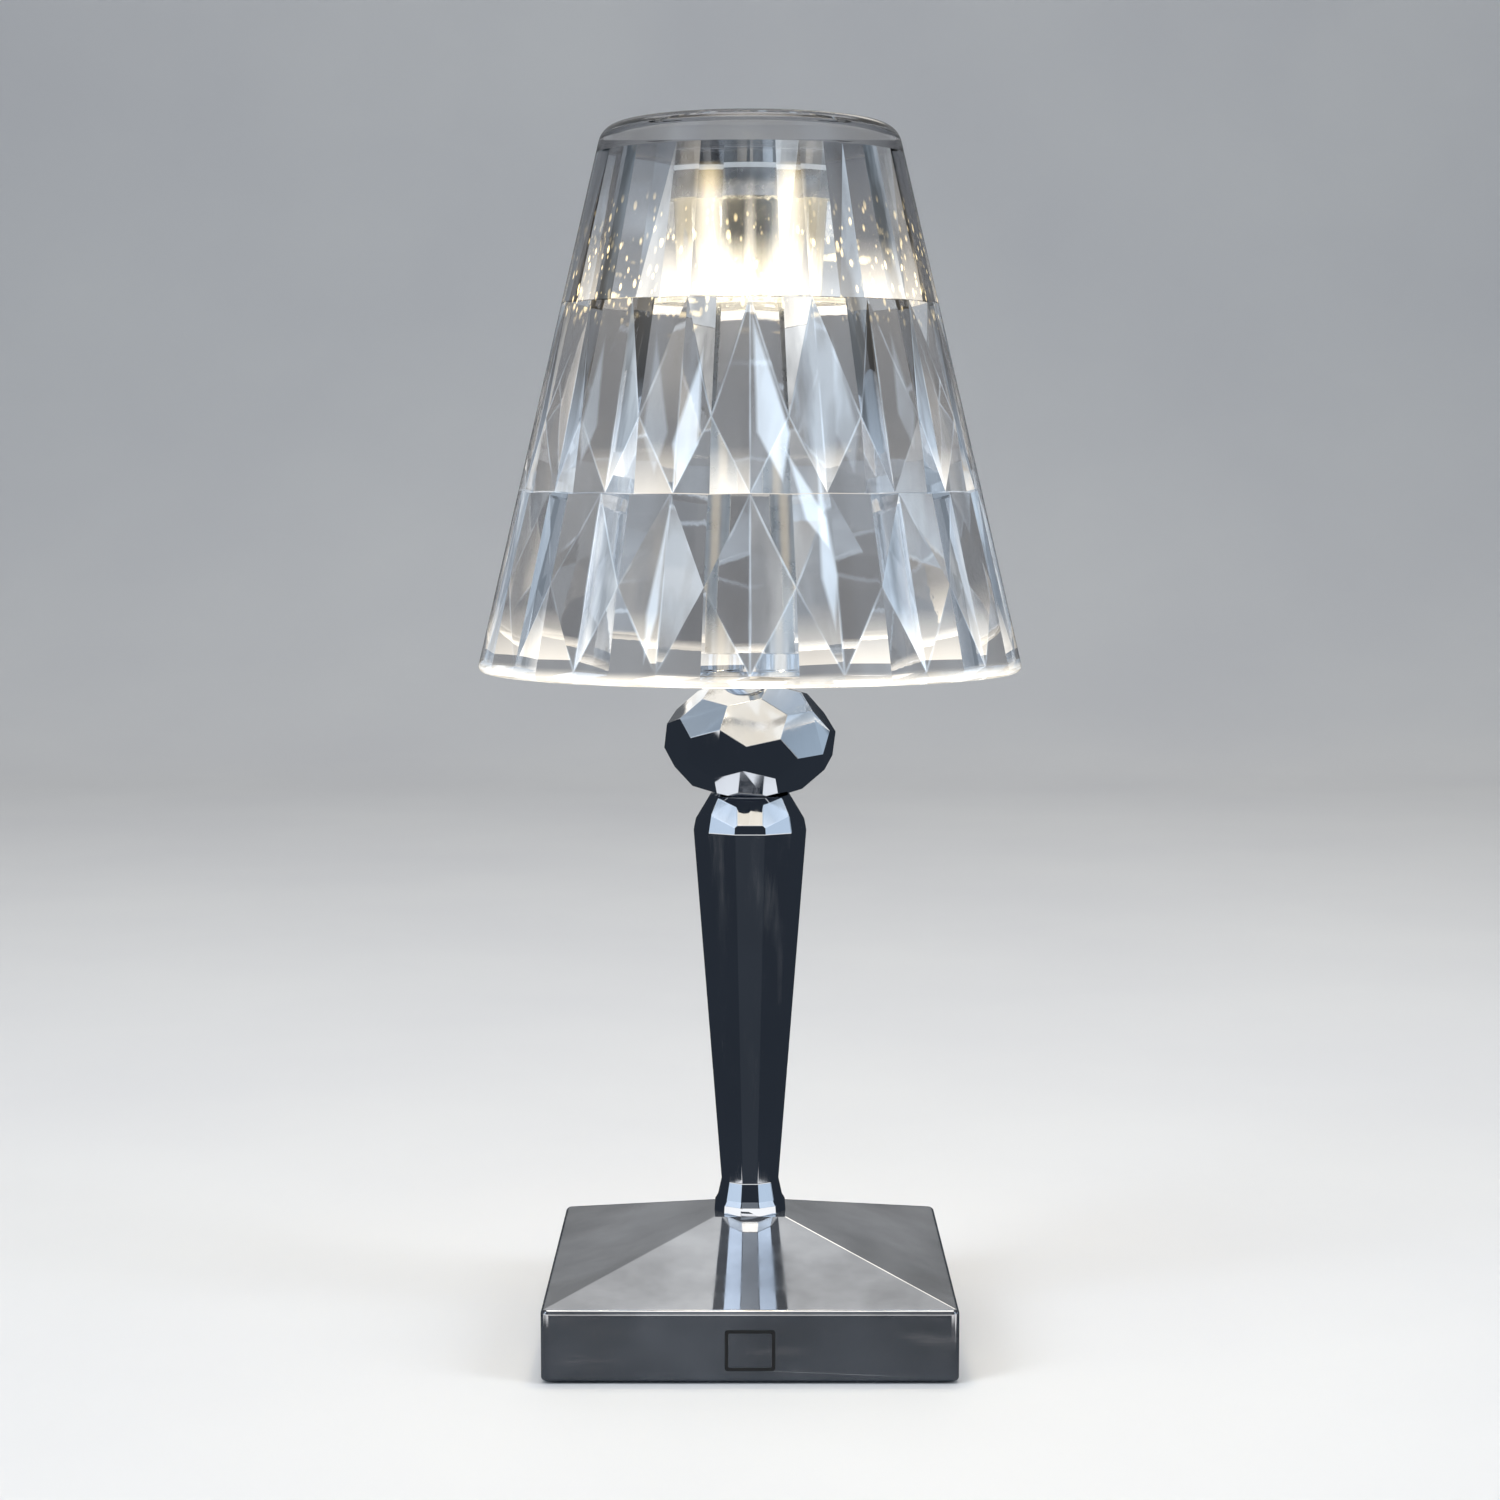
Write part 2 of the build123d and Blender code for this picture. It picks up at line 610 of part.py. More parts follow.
def battery_connector():
    return block(-21, -15, -14.5, -10.2, BOARD_TOP_Z, BOARD_TOP_Z + 4)


def tact_switch():
    body = block(-3, 3, BOARD_FRONT_Y, BOARD_FRONT_Y + 3.6, BOARD_TOP_Z, BOARD_TOP_Z + 4.5)
    return body - rod_along_y(1.35, BOARD_FRONT_Y - 1, BOARD_FRONT_Y + 2.8, 0, BUTTON_Z)


def switch_plunger():
    return rod_along_y(1.3, BOARD_FRONT_Y - 0.5, BOARD_FRONT_Y + 1.8, 0, BUTTON_Z)


# ---- wires ----
def lamp_lead():
    top, turn_z, board_y = CUP_TOP_Z - 0.05, BATTERY_TOP_Z + 0.75, BOARD_BACK_Y - 3
    runs = []
    for x in (-0.75, 0.75):
        points = [(x, 0, top), (x, 0, turn_z), (x, board_y, turn_z), (x, board_y, BOARD_TOP_Z + 0.05)]
        runs.append(wire_run(points, 1.2, LAMP_WIRE_R))
    return runs


def battery_lead():
    start, plug_y, top = BATTERY_FRONT_Y - 0.05, -12.3, BOARD_TOP_Z + 4.05
    return [wire_run([(x, start, 10.8), (x, plug_y, 10.8), (x, plug_y, top)], 1.2) for x in (-19.2, -16.8)]


def charge_lead():
    runs = []
    side, back, front = INNER_HALF - 1.6, INNER_HALF - 1.6, -20.0
    for start_x, z, end_x in ((12.2, 8.6, 22.0), (13.6, 10.0, 20.4)):
        points = [(start_x, 34.0, socket_board_z() + 0.05), (start_x, 34.0, z), (20.0, back, z)]
        points += [(side, back, z), (side, front, z), (end_x, front, z), (end_x, front, BOARD_TOP_Z + 0.05)]
        runs.append(wire_run(points, 1.2))
    return runs


# ---- charging port ----
def socket_board_z():
    return PORT_Z - 1.63


def socket_screw_places():
    return [(-12.5, 31.5), (8.5, 31.5)]


def socket_board():
    top = socket_board_z()
    body = block(-15, 15, 29.3, PORT_PAD_Y - 0.3, top - BOARD_T, top)
    for x, y in socket_screw_places():
        body -= rod(1.05, top - 3, top + 1, x, y)
    return body


def socket_screws():
    return [Pos(x, y, socket_board_z()) * screw(1.7, 1.1, 0.9, 3.6) for x, y in socket_screw_places()]


def charge_socket():
    front = PORT_PAD_Y + 1.2
    case = plate_y(8.94, 3.26, 1.5, front - 7.3, front, 0, PORT_Z)
    case -= plate_y(8.3, 2.6, 1.2, front - 6.3, front + 1, 0, PORT_Z)
    return case + block(-3.35, 3.35, front - 7, front - 0.8, PORT_Z - 0.35, PORT_Z + 0.35)


def port_cover():
    reach = FLAP_WIDTH / 2
    body = block(-reach, reach, FLAP_HINGE_Y, HALF, FLAP_BOTTOM_Z, FLAP_HINGE_Z)
    body += rod_along_x(0.95, -reach, reach, FLAP_HINGE_Y, FLAP_HINGE_Z)
    body += plate_y(8.4, 2.6, 1.2, FLAP_HINGE_Y - 0.9, FLAP_HINGE_Y + 0.1, 0, PORT_Z)
    return body - rod_along_x(HINGE_PIN_R + 0.04, -reach - 1, reach + 1, FLAP_HINGE_Y, FLAP_HINGE_Z)


def port_hinge_pin():
    return rod_along_x(HINGE_PIN_R, -8.9, 8.9, FLAP_HINGE_Y, FLAP_HINGE_Z)


# ---- power button ----
def button_seal():
    frame = plate_y(SEAL_WIDTH, SEAL_HEIGHT, 0.6, -HALF + 0.1, -HALF + 3.0, 0, BUTTON_Z)
    width, height = SEAL_WIDTH - 2 * SEAL_FRAME, SEAL_HEIGHT - 2 * SEAL_FRAME
    inside = plate_y(width, height, 0.4, -HALF, -HALF + 4, 0, BUTTON_Z)
    return frame - inside


def power_button():
    width = SEAL_WIDTH - 2 * (SEAL_FRAME + BUTTON_GAP)
    height = SEAL_HEIGHT - 2 * (SEAL_FRAME + BUTTON_GAP)
    face = plate_y(width, height, 0.35, -HALF, -HALF + 3.1, 0, BUTTON_Z)
    grown = 2 * BUTTON_FLANGE
    flange = plate_y(width + grown, height + grown, 0.4, -HALF + 3.05, -HALF + 3.85, 0, BUTTON_Z)
    nib = rod_along_y(1.2, -HALF + 3.8, BOARD_FRONT_Y - 0.55, 0, BUTTON_Z)
    return face + flange + nib


SINGLE_PIECES = [
    shade, shade_seat_ring, heat_sink, led_board, lens_cup, inner_tube, ball_collar,
    faceted_ball, stem_column, tie_rod, tie_washer, tie_nut,
    base_shell, bottom_cover, counterweight, battery_pad, battery_pack,
    circuit_board, driver_chip, inductor, battery_connector, tact_switch, switch_plunger,
    socket_board, charge_socket, port_cover, port_hinge_pin, button_seal, power_button,
]
GROUPED_PIECES = [
    led_chips, led_optics, head_screws, cover_screws, rubber_feet, counterweight_screws, board_screws,
    capacitors, socket_screws, lamp_lead, battery_lead, charge_lead,
]

for piece in SINGLE_PIECES:
    save(piece(), piece.__name__)

for group in GROUPED_PIECES:
    save(Compound(children=group()), group.__name__)
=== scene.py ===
import json
import math

import bpy
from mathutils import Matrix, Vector

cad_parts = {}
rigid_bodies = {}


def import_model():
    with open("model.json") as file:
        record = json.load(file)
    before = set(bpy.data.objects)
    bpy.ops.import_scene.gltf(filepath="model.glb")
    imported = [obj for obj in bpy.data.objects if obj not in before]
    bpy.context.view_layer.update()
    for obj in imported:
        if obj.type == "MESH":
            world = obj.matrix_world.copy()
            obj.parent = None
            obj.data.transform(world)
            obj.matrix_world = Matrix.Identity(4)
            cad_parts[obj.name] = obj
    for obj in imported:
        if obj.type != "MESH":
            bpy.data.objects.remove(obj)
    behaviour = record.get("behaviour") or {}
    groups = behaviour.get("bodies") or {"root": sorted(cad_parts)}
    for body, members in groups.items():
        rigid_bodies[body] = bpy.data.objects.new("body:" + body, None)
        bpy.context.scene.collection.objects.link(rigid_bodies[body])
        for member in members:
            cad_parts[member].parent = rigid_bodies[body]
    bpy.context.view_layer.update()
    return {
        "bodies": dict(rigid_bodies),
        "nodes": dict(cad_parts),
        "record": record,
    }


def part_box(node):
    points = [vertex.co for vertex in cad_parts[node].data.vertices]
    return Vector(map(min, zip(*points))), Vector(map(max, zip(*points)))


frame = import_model()
NODES = frame["nodes"]
RECORD_SLOT = {part["node"]: part["material_slot"] for part in frame["record"]["subparts"]}

# ---------------------------------------------------------------- camera, lens and light
CAMERA_AT = (0.0, -0.594, 0.177)
CAMERA_DOWN = math.radians(5.28)
LENS_MM = 68.8
FLOOR_HALF = 3.0

# soft windows of the room that the chrome mirrors: direction, inner and outer half-angle, colour
ROOM_DARK = (0.024, 0.030, 0.040)
ROOM = (
    ((0.0, 0.72, 0.70), 12, 42, (0.58, 0.58, 0.57)),
    ((0.17, 0.857, 0.47), 4, 9, (1.6, 1.5, 1.3)),
    ((0.653, -0.441, 0.62), 10, 15, (0.72, 0.84, 0.98)),
    ((-0.653, -0.441, 0.62), 10, 15, (0.78, 0.90, 1.05)),
    ((-0.85, -0.47, 0.24), 12, 17, (0.62, 0.74, 0.88)),
    ((0.85, -0.47, 0.24), 12, 17, (0.56, 0.68, 0.82)),
    ((0.0, -0.79, 0.606), 6, 14, (0.26, 0.28, 0.30)),
    ((0.0, 0.0, 1.0), 12, 22, (2.4, 2.3, 2.15)),
    ((0.98, 0.11, 0.11), 8, 13, (0.40, 0.49, 0.58)),
    ((0.0, -0.95, -0.32), 9, 16, (0.012, 0.013, 0.014)),
)
HORIZON = (1.15, 1.13, 1.10)
SURROUNDINGS = (0.52, 0.52, 0.53)

# the shade's three tiers of facets, in metres, and the cells around it
RIM_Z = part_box("shade")[0].z
CUP_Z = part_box("lens_cup")[0].z
LOW_LEDGE_Z = 0.175
HIGH_LEDGE_Z = 0.213
LED_AT_X = 0.0074
CELLS = 18
HALF_CELL = 0.5
# facets are told apart by their normals, rounded to steps; the shift keeps upright ones off a step
NORMAL_STEP = 0.02
NORMAL_SHIFT = 0.0137
# bottom, waist and top of the two tiers that are cut into diamonds
DIAMOND_TIERS = ((0.1406, 0.1575, LOW_LEDGE_Z), (LOW_LEDGE_Z, 0.190, HIGH_LEDGE_Z))
# where the facets' feet light up, and how high the light reaches
FEET = ((LOW_LEDGE_Z, 0.009), (HIGH_LEDGE_Z, 0.012), (RIM_Z + 0.004, 0.010))

# light caught in the clear wall: its colours, then how strong each part of it is
PALE_BLUE = (0.72, 0.86, 1.0)
CREAM = (1.0, 0.90, 0.74)
AMBER = (1.0, 0.78, 0.40)
COOL_FLASH = 0.52
WARM_FLASH = 0.45
GLINT = 0.42
FLAME = 1.1
FLAME_TIP = 0.7
BAND = 0.20
STREAK = 0.7
HAZE = 0.07
SPARKLE = 2.6
SEEN_IN_CHROME = 0.3
# a glint's half-width in cells: full strength up to the first value, gone at the second
GLINT_WIDTH = (0.006, 0.020)
# bright blades of light across the front facets: top and low end (x, z), half-width, strength
BLADES = (
    ((0.0002, 0.2105), (0.0062, 0.1765), 0.0034, 0.95),
    ((-0.0085, 0.2040), (-0.0135, 0.1760), 0.0026, 0.85),
    ((0.0120, 0.1850), (0.0160, 0.1480), 0.0018, 0.75),
    ((0.0060, 0.1850), (0.0150, 0.1640), 0.0022, 0.80),
    ((-0.0140, 0.1770), (-0.0200, 0.1415), 0.0014, 1.10),
    ((-0.0175, 0.2070), (-0.0178, 0.1780), 0.0028, 0.30),
    ((0.0150, 0.2070), (0.0195, 0.1780), 0.0026, 0.30),
    ((-0.0270, 0.2070), (-0.0320, 0.1800), 0.0022, 0.30),
    ((0.0260, 0.2080), (0.0310, 0.1830), 0.0022, 0.35),
    ((0.0, 0.1730), (0.0, 0.1400), 0.0005, 0.80),
)
# how far up a blade is widest, and how soft its edge is in metres
BLADE_WIDEST = 0.3
BLADE_EDGE = 0.0007


# ---------------------------------------------------------------- node helpers
def new_material(name):
    material = bpy.data.materials.new(name)
    material.use_nodes = True
    tree = material.node_tree
    tree.nodes.clear()
    return material, tree


def add(tree, kind, **inputs):
    node = tree.nodes.new(kind)
    for key, value in inputs.items():
        setattr(node, key, value)
    return node


def put(node, **values):
    for key, value in values.items():
        node.inputs[key.replace("_", " ")].default_value = value
    return node


def join(tree, source, target):
    tree.links.new(source, target)


def own_place(tree):
    return add(tree, "ShaderNodeTexCoord").outputs["Object"]


def coordinates(tree, scale=(1, 1, 1)):
    mapping = add(tree, "ShaderNodeMapping")
    mapping.inputs["Scale"].default_value = scale
    join(tree, own_place(tree), mapping.inputs["Vector"])
    return mapping.outputs["Vector"]


def noise(tree, scale, detail=4.0, stretch=(1, 1, 1), rough=0.5):
    texture = add(tree, "ShaderNodeTexNoise")
    put(texture, Scale=scale, Detail=detail, Roughness=rough)
    join(tree, coordinates(tree, stretch), texture.inputs["Vector"])
    return texture.outputs["Fac"]


def ramp(tree, value, low, high, out_low=0.0, out_high=1.0):
    node = add(tree, "ShaderNodeMapRange")
    node.inputs["From Min"].default_value = low
    node.inputs["From Max"].default_value = high
    node.inputs["To Min"].default_value = out_low
    node.inputs["To Max"].default_value = out_high
    join(tree, value, node.inputs["Value"])
    return node.outputs["Result"]


def colours(tree, value, first, second, low=0.3, high=0.7):
    node = add(tree, "ShaderNodeValToRGB")
    node.color_ramp.elements[0].position = low
    node.color_ramp.elements[0].color = (*first, 1)
    node.color_ramp.elements[1].position = high
    node.color_ramp.elements[1].color = (*second, 1)
    join(tree, value, node.inputs["Fac"])
    return node.outputs["Color"]


def bump(tree, value, strength, distance, normal=None):
    node = add(tree, "ShaderNodeBump")
    node.inputs["Strength"].default_value = strength
    node.inputs["Distance"].default_value = distance
    join(tree, value, node.inputs["Height"])
    if normal is not None:
        join(tree, normal, node.inputs["Normal"])
    return node.outputs["Normal"]


def math_node(tree, operation, first, second):
    node = add(tree, "ShaderNodeMath", operation=operation)
    for socket, value in zip(node.inputs, (first, second)):
        if isinstance(value, (int, float)):
            socket.default_value = value
        else:
            join(tree, value, socket)
    return node.outputs["Value"]


def principled(tree, **values):
    shader = add(tree, "ShaderNodeBsdfPrincipled")
    put(shader, **values)
    output = add(tree, "ShaderNodeOutputMaterial")
    join(tree, shader.outputs["BSDF"], output.inputs["Surface"])
    return shader


# ---------------------------------------------------------------- clear materials
def let_light_through(tree, shader_output, tint):
    # lamp and studio light reach the inside through the clear wall; camera and mirror rays refract
    path = add(tree, "ShaderNodeLightPath")
    clear = add(tree, "ShaderNodeBsdfTransparent")
    clear.inputs["Color"].default_value = (*tint, 1)
    either = math_node(tree, "MAXIMUM", path.outputs["Is Shadow Ray"], path.outputs["Is Diffuse Ray"])
    mix = add(tree, "ShaderNodeMixShader")
    join(tree, either, mix.inputs["Fac"])
    join(tree, shader_output, mix.inputs[1])
    join(tree, clear.outputs["BSDF"], mix.inputs[2])
    output = add(tree, "ShaderNodeOutputMaterial")
    join(tree, mix.outputs["Shader"], output.inputs["Surface"])


def emit(tree, surface, colour, strength):
    # adds light of its own to a surface: what the lamp's light, caught in the clear walls, looks like
    glow = add(tree, "ShaderNodeEmission")
    if isinstance(colour, tuple):
        glow.inputs["Color"].default_value = (*colour, 1)
    else:
        join(tree, colour, glow.inputs["Color"])
    join(tree, strength, glow.inputs["Strength"])
    both = add(tree, "ShaderNodeAddShader")
    join(tree, surface, both.inputs[0])
    join(tree, glow.outputs["Emission"], both.inputs[1])
    return both.outputs["Shader"]


def split(tree, vector):
    node = add(tree, "ShaderNodeSeparateXYZ")
    join(tree, vector, node.inputs["Vector"])
    return node.outputs["X"], node.outputs["Y"], node.outputs["Z"]


def product(tree, *values):
    result = values[0]
    for value in values[1:]:
        result = math_node(tree, "MULTIPLY", result, value)
    return result


def total(tree, *values):
    result = values[0]
    for value in values[1:]:
        result = math_node(tree, "ADD", result, value)
    return result


def gap(tree, first, second):
    # how far apart two values are
    return math_node(tree, "ABSOLUTE", math_node(tree, "SUBTRACT", first, second), 0)


def seen_in_mirror(tree):
    return add(tree, "ShaderNodeLightPath").outputs["Is Reflection Ray"]


def facet_chance(tree):
    # one steady random colour for each flat facet, the same from both sides of the wall
    geometry = add(tree, "ShaderNodeNewGeometry")
    turned = add(tree, "ShaderNodeVectorMath", operation="SCALE")
    join(tree, geometry.outputs["True Normal"], turned.inputs[0])
    join(tree, ramp(tree, geometry.outputs["Backfacing"], 0, 1, 1, -1), turned.inputs["Scale"])
    normal = turned.outputs["Vector"]
    steps = add(tree, "ShaderNodeCombineXYZ")
    for value, socket in zip(split(tree, normal), steps.inputs):
        shifted = math_node(tree, "ADD", value, NORMAL_SHIFT)
        join(tree, math_node(tree, "SNAP", shifted, NORMAL_STEP), socket)
    chance = add(tree, "ShaderNodeTexWhiteNoise", noise_dimensions="3D")
    join(tree, steps.outputs["Vector"], chance.inputs["Vector"])
    return split(tree, chance.outputs["Color"]), normal


def inward(tree, normal, place):
    # 1 on the cut inner faces, 0 on the smooth outside
    nx, ny, _ = split(tree, normal)
    px, py, _ = split(tree, place)
    facing = total(tree, product(tree, nx, px), product(tree, ny, py))
    return math_node(tree, "LESS_THAN", facing, -0.001)


def edge_glints(tree, place):
    # thin bright lines along the folds and the sides of the diamonds
    x, y, z = split(tree, place)
    angle = math_node(tree, "ARCTAN2", x, math_node(tree, "MULTIPLY", y, -1.0))
    cells_round = math_node(tree, "MULTIPLY", angle, CELLS / (2 * math.pi))
    off_fold = math_node(tree, "PINGPONG", cells_round, HALF_CELL)
    lines = []
    for low, waist, high in DIAMOND_TIERS:
        over = math_node(tree, "GREATER_THAN", z, low)
        under = math_node(tree, "LESS_THAN", z, high)
        rising = ramp(tree, z, low, waist, 0, HALF_CELL)
        falling = ramp(tree, z, waist, high, HALF_CELL, 0)
        off_side = gap(tree, off_fold, math_node(tree, "MINIMUM", rising, falling))
        nearest = math_node(tree, "MINIMUM", off_side, off_fold)
        lines.append(product(tree, over, under, ramp(tree, nearest, *GLINT_WIDTH, 1, 0)))
    return total(tree, *lines)


def blades(tree, place):
    # leaf shapes on the front half, pointed at both ends and widest low down
    x, y, z = split(tree, place)
    leaves = []
    for (top_x, top_z), (low_x, low_z), half_width, strength in BLADES:
        along = ramp(tree, z, low_z, top_z)
        widening = ramp(tree, along, 0, BLADE_WIDEST, 0, half_width)
        narrowing = ramp(tree, along, BLADE_WIDEST, 1, half_width, 0)
        width = math_node(tree, "MINIMUM", widening, narrowing)
        off_middle = gap(tree, x, ramp(tree, along, 0, 1, low_x, top_x))
        leaf = ramp(tree, math_node(tree, "SUBTRACT", width, off_middle), 0, BLADE_EDGE)
        leaves.append(product(tree, leaf, strength))
    return product(tree, math_node(tree, "LESS_THAN", y, 0.0), total(tree, *leaves))


def flashes(tree, place, chances):
    # whole facets that flash pale blue or cream, and the light thrown on folds and front facets
    streaks = ramp(tree, noise(tree, 130, 3, (1, 1, 0.16)), 0.42, 0.62, 0.25, 1.0)
    cool = product(tree, streaks, ramp(tree, chances[0], 0.60, 0.90), COOL_FLASH)
    warm = product(tree, streaks, ramp(tree, chances[1], 0.78, 0.96), WARM_FLASH)
    patchy = ramp(tree, noise(tree, 60, 2), 0.42, 0.62)
    glints = product(tree, edge_glints(tree, place), patchy, GLINT)
    # the painted blades of light are brighter and dimmer in long patches
    uneven_blade_light = ramp(tree, noise(tree, 90, 4, (1, 1, 0.3)), 0.3, 0.65, 0.35, 1.0)
    return total(tree, cool, glints, product(tree, blades(tree, place), uneven_blade_light)), warm


def head_glow(tree, across, height):
    # flames under the two light chips with amber tips, a band, a middle streak and a haze; placed in
    # the room, so that they stay with the light head when the shade lifts
    haze = product(tree, ramp(tree, height, 0.190, 0.214, 0.25, 1), ramp(tree, height, 0.216, 0.243, 1, 0))
    off_chip = product(tree, gap(tree, across, LED_AT_X), ramp(tree, height, 0.214, 0.238, 1.0, 1.9))
    flame = product(tree, ramp(tree, off_chip, 0.001, 0.0055, 1, 0), ramp(tree, height, 0.213, 0.2135))
    tip_top = ramp(tree, height, 0.2375, 0.2395, 1, 0)
    tip = product(tree, flame, ramp(tree, height, 0.230, 0.235), tip_top, FLAME_TIP)
    flame = product(tree, flame, ramp(tree, height, 0.231, 0.238, 1, 0), FLAME)
    band = product(tree, ramp(tree, across, 0.012, 0.022, 1, 0), ramp(tree, height, 0.2135, 0.223, 1, 0))
    band = product(tree, band, ramp(tree, height, 0.2128, 0.2132), BAND)
    streak = product(tree, ramp(tree, across, 0.0003, 0.0013, 1, 0), ramp(tree, height, 0.214, 0.218))
    streak = product(tree, streak, ramp(tree, height, 0.226, 0.237, 1, 0), STREAK)
    return total(tree, flame, band, streak, product(tree, haze, HAZE)), tip


def lit_feet(tree, z, chance):
    # bright feet of some facets, just above the rim and each ledge
    feet = []
    for low, reach in FEET:
        above = math_node(tree, "GREATER_THAN", z, low)
        feet.append(product(tree, above, ramp(tree, z, low, low + reach, 1, 0)))
    return product(tree, total(tree, *feet), ramp(tree, chance, 0.55, 0.80))


def lit_rim(tree, z):
    rim = ramp(tree, z, RIM_Z + 0.0006, RIM_Z + 0.0024, 1, 0)
    return product(tree, rim, ramp(tree, noise(tree, 110, 3), 0.3, 0.7, 0.45, 0.8))


def sparkles(tree, height):
    # small amber sparkles around the light head, each with its own size
    dots = add(tree, "ShaderNodeTexVoronoi")
    put(dots, Scale=760.0)
    join(tree, coordinates(tree, (1, 1, 0.38)), dots.inputs["Vector"])
    size = ramp(tree, split(tree, dots.outputs["Color"])[0], 0.25, 1.0, 0.0, 0.40)
    dot = ramp(tree, math_node(tree, "SUBTRACT", size, dots.outputs["Distance"]), 0.0, 0.16)
    patch = ramp(tree, noise(tree, 75, 3), 0.38, 0.52)
    above, below = ramp(tree, height, 0.208, 0.215), ramp(tree, height, 0.221, 0.234, 1, 0)
    return product(tree, dot, patch, above, below, SPARKLE)


def clear_acrylic():
    material, tree = new_material("clear_acrylic")
    glass = add(tree, "ShaderNodeBsdfGlass")
    # the wall's grey tint, 0.81 at each surface, is painted shade that darkens what shows through the
    # clear acrylic
    put(glass, IOR=1.49, Color=(0.81, 0.812, 0.82, 1))
    haze = ramp(tree, noise(tree, 70, 6), 0.35, 0.75, 0.0, 0.03)
    join(tree, haze, glass.inputs["Roughness"])
    flow = noise(tree, 26, 1, (1, 1, 0.45))
    normal = bump(tree, noise(tree, 900, 2), 0.01, 0.0002, bump(tree, flow, 0.05, 0.0016))
    join(tree, normal, glass.inputs["Normal"])

    # light caught in the wall: on the shade by its own coordinates, around the head by the room's
    place = own_place(tree)
    z = split(tree, place)[2]
    room_x, _, height = split(tree, add(tree, "ShaderNodeNewGeometry").outputs["Position"])
    across = math_node(tree, "ABSOLUTE", room_x, 0)
    chances, facing = facet_chance(tree)
    inside = inward(tree, facing, place)
    cool, warm = flashes(tree, place, chances)
    glow, tip = head_glow(tree, across, height)
    warm = product(tree, inside, total(tree, warm, glow, lit_feet(tree, z, chances[2])))
    warm = total(tree, warm, lit_rim(tree, z))
    amber = total(tree, sparkles(tree, height), product(tree, inside, tip))

    # the chrome below sees the shade's lit inside evenly: cream in front, pale blue at the sides; this is
    # light painted on the inner faces that only mirror rays see
    in_chrome = seen_in_mirror(tree)
    direct = ramp(tree, in_chrome, 0, 1, 1, SEEN_IN_CHROME)
    mirrored = product(tree, in_chrome, inside, ramp(tree, z, 0.185, 0.200, 1, 0))
    cream_part = product(tree, mirrored, ramp(tree, across, 0.016, 0.030, 0.95, 0.0))
    blue_part = product(tree, mirrored, ramp(tree, across, 0.016, 0.030, 0.0, 0.42))
    cool = total(tree, product(tree, inside, cool, direct), blue_part)
    warm = total(tree, product(tree, warm, direct), cream_part)
    surface = emit(tree, glass.outputs["BSDF"], PALE_BLUE, cool)
    surface = emit(tree, surface, CREAM, warm)
    surface = emit(tree, surface, AMBER, product(tree, amber, direct))
    let_light_through(tree, surface, (0.96, 0.97, 0.98))
    return material


def clear_lens():
    # the light head's cup, which glows, most of all at its floor
    material, tree = new_material("clear_lens")
    glass = add(tree, "ShaderNodeBsdfGlass")
    put(glass, IOR=1.5, Color=(0.99, 0.985, 0.96, 1))
    join(tree, ramp(tree, noise(tree, 160, 5), 0.3, 0.7, 0.02, 0.08), glass.inputs["Roughness"])
    join(tree, bump(tree, noise(tree, 420, 3), 0.10, 0.0003), glass.inputs["Normal"])
    z = split(tree, own_place(tree))[2]
    fade = ramp(tree, z, CUP_Z + 0.004, CUP_Z + 0.013, 1, 0)
    head = product(tree, ramp(tree, z, CUP_Z - 0.002, CUP_Z + 0.001), fade)
    patchy = ramp(tree, noise(tree, 150, 3, (1, 1, 0.5)), 0.3, 0.7, 0.6, 1.2)
    surface = emit(tree, glass.outputs["BSDF"], (1.0, 0.88, 0.66), product(tree, head, patchy, 0.45))
    let_light_through(tree, surface, (0.97, 0.96, 0.92))
    return material


def glowing_lens():
    # the cones under the light chips, filled with light: white, with yellow-green tops
    material, tree = new_material("glowing_lens")
    glass = add(tree, "ShaderNodeBsdfGlass")
    put(glass, IOR=1.5, Color=(1.0, 0.98, 0.93, 1))
    join(tree, ramp(tree, noise(tree, 200, 4), 0.3, 0.7, 0.05, 0.2), glass.inputs["Roughness"])
    low, high = (corner.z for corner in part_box("led_optics"))
    z = split(tree, own_place(tree))[2]
    up = ramp(tree, z, low, high)
    tint = colours(tree, up, (1.0, 0.96, 0.86), (0.98, 0.96, 0.36), 0.55, 0.90)
    in_chrome = seen_in_mirror(tree)
    speckle = ramp(tree, noise(tree, 300, 2), 0.3, 0.7, 0.85, 1.1)
    strength = ramp(tree, up, 0.35, 0.95, 6.0, 0.25)
    strength = product(tree, strength, speckle, ramp(tree, in_chrome, 0, 1, 1, 0.25))
    surface = emit(tree, glass.outputs["BSDF"], tint, strength)
    let_light_through(tree, surface, (1.0, 0.99, 0.95))
    return material


# ---------------------------------------------------------------- metals
def chrome(name, tint, streak_up, grain, metallic=1.0, painted_reflection_dim=0.9):
    # plated plastic: bright, slightly wavy, with hairline wiping marks; cloudy patches darken its colour
    # as a painted reflection, and are a little rougher there, like faint fingerprints
    material, tree = new_material(name)
    shader = principled(tree, Metallic=metallic)
    cloud = noise(tree, 38, 5)
    # the darker colour of the cloudy patches is a painted reflection
    painted_dark_reflection = tuple(c * painted_reflection_dim for c in tint)
    join(tree, colours(tree, cloud, tint, painted_dark_reflection, 0.35, 0.7), shader.inputs["Base Color"])
    marks = noise(tree, 240, 6, streak_up, 0.65)
    rough = total(tree, ramp(tree, marks, 0.45, 0.8, 0.03, 0.16), ramp(tree, cloud, 0.5, 0.8, 0.0, grain))
    join(tree, rough, shader.inputs["Roughness"])
    waviness = bump(tree, noise(tree, 55, 2), 0.05, 0.0006)
    join(tree, bump(tree, marks, 0.05, 0.0001, waviness), shader.inputs["Normal"])
    return material


